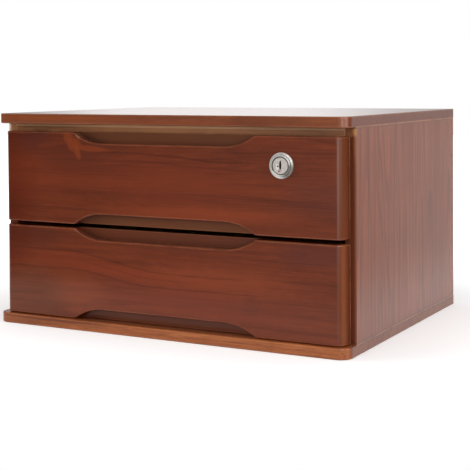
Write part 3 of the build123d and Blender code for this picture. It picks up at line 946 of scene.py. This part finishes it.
@dataclass(frozen=True)
class Case:
    """The fixed case: top, bottom, sides, back, the rail over the drawers and the runners."""

    groups: Groups

    def dress(self) -> None:
        """Dress every node of the case."""
        for node, finish, name, fibres, shift in (
            ("top_panel", BOARD, "top_board", Fibres.ACROSS, (0.3, 0.1, 0.2)),
            ("bottom_panel", BASE, "base_board", Fibres.ACROSS, (1.3, 0.6, 0.4)),
            ("right_side_panel", SIDE, "right_side", Fibres.UPRIGHT, (0.2, 2.1, 0.7)),
            ("left_side_panel", SIDE, "left_side", Fibres.UPRIGHT, (3.2, 0.4, 1.7)),
            ("back_panel", SIDE, "back_board", Fibres.ACROSS, (0.9, 1.4, 2.7)),
            ("front_top_rail", RAIL, "rail_board", Fibres.ACROSS, (4.9, 1.1, 0.7)),
            ("upper_left_runner", BASE, "upper_left_runner_wood", Fibres.DEEP, (0.1, 0.5, 1.0)),
            ("upper_right_runner", BASE, "upper_right_runner_wood", Fibres.DEEP, (0.2, 1.0, 1.0)),
            ("lower_left_runner", BASE, "lower_left_runner_wood", Fibres.DEEP, (0.3, 1.5, 1.0)),
            ("lower_right_runner", BASE, "lower_right_runner_wood", Fibres.DEEP, (0.4, 2.0, 1.0)),
        ):
            dress(node, finish.material(name, self.groups, fibres, shift))


@dataclass(frozen=True)
class Drawer:
    """One drawer: its front and its box of paler wood. The shift moves its grain."""

    groups: Groups
    name: str
    front: WoodFinish
    shift: float

    def dress(self) -> None:
        """Dress every node of the drawer."""
        shift = self.shift
        front_wood = self.front.material(
            f"{self.name}_front_wood", self.groups, Fibres.ACROSS, (shift, 0.4, shift)
        )
        dress(f"{self.name}_drawer_front", front_wood)
        for part, fibres in (
            ("left_side", Fibres.DEEP),
            ("right_side", Fibres.DEEP),
            ("back", Fibres.ACROSS),
            ("bottom", Fibres.ACROSS),
        ):
            node = f"{self.name}_drawer_{part}"
            dress(node, PALE.material(node + "_wood", self.groups, fibres, (shift, 1.0, 2 * shift)))


@dataclass(frozen=True)
class Lock:
    """The cam lock of the upper drawer."""

    groups: Groups

    def dress(self) -> None:
        """Dress the lock's parts."""
        dress("lock_body", FLANGE.material("lock_bright", self.groups))
        dress("lock_plug", PLUG.material("lock_satin", self.groups))
        for node in ("lock_nut", "cam_stop_washer", "lock_cam", "cam_screw"):
            dress(node, ZINC.material(node + "_zinc", self.groups))


@dataclass(frozen=True)
class Fasteners:
    """Screws and dowels."""

    groups: Groups

    def dress(self) -> None:
        """Dress the screws and dowels."""
        screws = STEEL.material("screw_steel_finish", self.groups)
        for node in (
            "base_screws",
            "back_screws",
            "runner_screws",
            "upper_drawer_back_screws",
            "upper_drawer_bottom_screws",
            "lower_drawer_back_screws",
            "lower_drawer_bottom_screws",
        ):
            dress(node, screws)
        for node in ("top_dowels", "rail_dowels", "upper_drawer_dowels", "lower_drawer_dowels"):
            dress(node, BEECH.material(node + "_beech", self.groups, Fibres.UPRIGHT, (0.0, 0.0, 0.0)))


def look_turn(gaze: np.ndarray, roll: float = 0.0) -> Matrix:
    """Give the turn of a camera or lamp that looks along a direction, its X level but for a roll.

    Args:
        gaze: Where it looks.
        roll: Turn about the direction, in radians, clockwise as seen from behind.

    Returns:
        The 3 by 3 matrix whose columns are right, up and backwards.
    """
    forward = gaze / np.linalg.norm(gaze)
    right = np.cross(forward, (0.0, 0.0, 1.0))
    right /= np.linalg.norm(right)
    up = np.cross(right, forward)
    turned_right = math.cos(roll) * right - math.sin(roll) * up
    turned_up = math.sin(roll) * right + math.cos(roll) * up
    return Matrix(np.stack([turned_right, turned_up, -forward], axis=1).tolist())


@dataclass(frozen=True)
class Lamp:
    """A rectangular soft lamp that looks at the object; what is mirrored is the world alone."""

    name: str
    place: Point
    size: tuple[float, float]
    power: float
    aim: Point = (0.0, 0.0, 0.1)

    def build(self) -> None:
        """Hang the lamp."""
        data = bpy.data.lights.new(self.name, "AREA")
        data.shape = "RECTANGLE"
        data.size, data.size_y = self.size
        data.energy = self.power
        made = bpy.data.objects.new(self.name, data)
        made.location = self.place
        made.rotation_euler = look_turn(np.subtract(self.aim, self.place)).to_euler()
        made.visible_glossy = False
        bpy.context.scene.collection.objects.link(made)


@dataclass(frozen=True)
class Camera:
    """The camera at the photographed viewing angle; lift moves the picture's middle, in pixels."""

    place: Point = (0.59455, -1.09898, 0.24624)
    yaw: float = math.radians(28.268)
    pitch: float = math.radians(1.481)
    roll: float = math.radians(0.355)
    lens: float = 89.985
    sensor: float = 36.0
    picture_pixels: int = 470
    lift_pixels: int = -123
    clip: tuple[float, float] = (0.01, 50.0)

    def build(self) -> None:
        """Make the camera and give it to the scene."""
        data = bpy.data.cameras.new("camera")
        data.lens, data.sensor_width = self.lens, self.sensor
        data.shift_y = self.lift_pixels / self.picture_pixels
        data.clip_start, data.clip_end = self.clip
        made = bpy.data.objects.new("camera", data)
        level = math.cos(self.pitch)
        gaze = (-math.sin(self.yaw) * level, math.cos(self.yaw) * level, -math.sin(self.pitch))
        made.location = self.place
        made.rotation_euler = look_turn(np.array(gaze), self.roll).to_euler()
        bpy.context.scene.collection.objects.link(made)
        bpy.context.scene.camera = made


@dataclass(frozen=True)
class Floor:
    """A pale table top, in metres, just below the object.

    It keeps the object's shadow and is white to the camera further out. It ends a little ahead of
    the fronts, so that they mirror it low down only. What the right side's lacquer mirrors of it
    has a level of its own, where 1 is white: bright next to the side, dimmer further out, and
    brighter again in a fan that runs out behind the rear half of the side. That fan is placed for
    the photographed viewing angle. The sheet is see-through from below and under the object, so
    that the underside is lit and can be looked at. beside, further and fan_out go by the distance
    from the side in millimetres, and everything else is in metres.
    """

    height: float = -0.2 * MILLIMETRE
    half_width: float = 3.0
    front: float = -0.36
    back: float = 4.0
    grey: float = 0.8
    roughness: float = 0.9
    whiteness: Ramp = (0.25, 0.7, 0.3, 1.0)
    beside: Ramp = (10.0, 40.0, 0.85, 1.0)
    further: Ramp = (55.0, 205.0, 1.0, 0.52)
    fan_out: Ramp = (105.0, 225.0)
    fan_across: Ramp = (-0.04, 0.04, 0.0, 0.38)
    fan_slope: float = 2.35
    fan_spread: float = 2.25
    margin: float = 5.0 * MILLIMETRE

    def mirrored_level(self, surface: Surface, out: Socket, deep: Socket) -> Socket:
        """Work out how bright the side's lacquer sees the floor.

        The fan's lines leave the side at every Y and spread with the distance from it: the Y at
        which the line through a place starts is (Y - slope * out) / (1 + spread * out).

        Args:
            surface: The floor's material.
            out: Distance from the plane of the right side, in metres.
            deep: Y, in metres.

        Returns:
            The level.
        """
        distance = surface.product(out, PER_METRE)
        aimed = surface.math("MULTIPLY_ADD", out, -self.fan_slope, deep)
        start = surface.math("DIVIDE", aimed, surface.math("MULTIPLY_ADD", out, self.fan_spread, 1.0))
        fan = surface.product(surface.span(distance, *self.fan_out), surface.span(start, *self.fan_across))
        beside = surface.span(distance, *self.beside)
        return surface.product(beside, surface.span(distance, *self.further), surface.math("ADD", fan, 1.0))

    def dress(self) -> bpy.types.Material:
        """Make the floor's material.

        Returns:
            The material.
        """
        surface = Surface("pale_floor")
        grey = (self.grey,) * 3
        surface.shader.inputs["Base Color"].default_value = (*grey, 1.0)
        surface.set(Roughness=self.roughness, Specular_IOR_Level=0.0)
        across, deep, _ = surface.parts(surface.object_place)
        path = surface.node("LightPath")
        away = surface.vector("LENGTH", surface.object_place)
        seen = surface.product(path.outputs["Is Camera Ray"], surface.span(away, *self.whiteness))
        glow = surface.node("Emission", None, seen).outputs[0]
        out = surface.math("SUBTRACT", across, HALF_WIDTH)
        mirrored = surface.node("Emission", None, self.mirrored_level(surface, out, deep)).outputs[0]
        to_the_right = surface.math("GREATER_THAN", out, MILLIMETRE)
        under = surface.product(
            surface.math("LESS_THAN", surface.math("ABSOLUTE", across), HALF_WIDTH - self.margin),
            surface.math("LESS_THAN", surface.math("ABSOLUTE", deep), HALF_DEPTH - self.margin),
        )
        hidden = surface.math("MAXIMUM", surface.node("NewGeometry").outputs["Backfacing"], under)
        clear = surface.node("BsdfTransparent").outputs[0]
        shader = surface.node("AddShader", surface.shader.outputs[0], glow).outputs[0]
        glossy = surface.product(path.outputs["Is Glossy Ray"], to_the_right)
        for share, other in ((glossy, mirrored), (hidden, clear)):
            shader = surface.node("MixShader", share, shader, other).outputs[0]
        surface.feed(surface.tree.nodes["Material Output"].inputs["Surface"], shader)
        return surface.material

    def build(self) -> None:
        """Lay the floor."""
        mesh = bpy.data.meshes.new("floor")
        wide = self.half_width
        rim = ((-wide, self.front), (wide, self.front), (wide, self.back), (-wide, self.back))
        mesh.from_pydata([(*corner, self.height) for corner in rim], [], [(0, 1, 2, 3)])
        mesh.materials.append(self.dress())
        made = bpy.data.objects.new("floor", mesh)
        bpy.context.scene.collection.objects.link(made)


@dataclass(frozen=True)
class Room:
    """The world: white to the camera, a room to what mirrors it, and one plain level to the rest.

    Directions are turns round Z in degrees: 0 ahead of the fronts, 90 to the right, 180 behind
    and -90 to the left. A foot is the Z of a direction over which a light begins. Levels are the
    world's strength, where 1 is white. What is mirrored is a window ahead to the right, a bank of
    light on the right, a backdrop behind, and the dim room ahead, which is darkest to the left.
    """

    plain_level: float = 0.4
    window_rise: Ramp = (5.0, 32.0, 0.0, 4.2)
    window_fall: Ramp = (42.0, 64.0, 1.0, 0.2)
    window_foot: Ramp = (-0.17, -0.06)
    bank_rise: Ramp = (55.0, 88.0, 0.0, 2.4)
    bank_foot: Ramp = (-0.16, -0.02)
    right_end: Ramp = (94.0, 99.0, 1.0, 0.0)
    backdrop_rise: Ramp = (137.0, 147.0)
    backdrop_fall: Ramp = (154.0, 162.0, 1.1, 0.6)
    dim_rise: Ramp = (-42.0, -16.0, 0.02, 0.5)
    dim_end: Ramp = (60.0, 100.0, 1.0, 0.0)

    def mirrored_level(self, wiring: Wiring, turn: Socket, up: Socket) -> Socket:
        """Work out the level that reflections see.

        Args:
            wiring: The world's nodes.
            turn: The direction's turn, in degrees.
            up: The direction's Z.

        Returns:
            The level.
        """
        away = wiring.math("ABSOLUTE", turn)
        lights = (
            ((away, self.backdrop_rise), (away, self.backdrop_fall)),
            ((turn, self.dim_rise), (away, self.dim_end)),
            (
                (turn, self.window_rise),
                (turn, self.window_fall),
                (up, self.window_foot),
                (turn, self.right_end),
            ),
            ((turn, self.bank_rise), (up, self.bank_foot), (turn, self.right_end)),
        )
        levels = [
            wiring.product(*(wiring.span(source, *ramp) for source, ramp in light)) for light in lights
        ]
        return wiring.chain("ADD", *levels)

    def build(self) -> None:
        """Make the world and give it to the scene."""
        world = bpy.data.worlds.new("studio")
        bpy.context.scene.world = world
        world.use_nodes = True
        wiring = Wiring(world.node_tree)
        wiring.tree.nodes.clear()
        across, deep, up = wiring.parts(wiring.node("TexCoord").outputs["Generated"])
        turn = wiring.math("DEGREES", wiring.math("ARCTAN2", across, wiring.product(deep, -1.0)))
        path = wiring.node("LightPath").outputs
        seen = path["Is Camera Ray"]
        mirrored = wiring.math("MAXIMUM", path["Is Glossy Ray"], path["Is Transmission Ray"])
        extra = wiring.math("SUBTRACT", self.mirrored_level(wiring, turn, up), self.plain_level)
        level = wiring.math("MULTIPLY_ADD", mirrored, extra, self.plain_level)
        strength = wiring.math("MULTIPLY_ADD", level, wiring.math("SUBTRACT", 1.0, seen), seen)
        wiring.node("OutputWorld", wiring.node("Background", (255, 255, 255), strength).outputs[0])


@dataclass(frozen=True)
class Studio:
    """Camera, floor, world and lamps."""

    camera: Camera = Camera()
    floor: Floor = Floor()
    room: Room = Room()
    lamps: tuple[Lamp, ...] = (
        Lamp("left_lamp", (-2.3, -1.1, 0.55), (0.8, 0.9), 30.0),
        Lamp("front_lamp", (0.45, -2.2, 0.5), (1.6, 0.8), 6.0),
        Lamp("right_lamp", (1.36, -0.39, 0.62), (0.78, 1.15), 10.0),
        Lamp("top_lamp", (0.0, -0.2, 1.9), (1.4, 1.4), 14.0),
    )

    def build(self) -> None:
        """Build the whole studio."""
        for piece in (self.camera, self.floor, self.room, *self.lamps):
            piece.build()
            LOG.info("built %s", getattr(piece, "name", type(piece).__name__.lower()))
        bpy.context.scene.view_settings.view_transform = "Standard"


def main() -> None:
    """Build the studio and dress every sub-assembly in order."""
    Studio().build()
    groups = Groups()
    for piece in (
        Case(groups),
        Drawer(groups, "upper", UPPER_FRONT, shift=1.7),
        Drawer(groups, "lower", LOWER_FRONT, shift=5.3),
        Lock(groups),
        Fasteners(groups),
    ):
        piece.dress()
        LOG.info("finished %s", type(piece).__name__.lower())


if __name__ == "__main__":
    main()
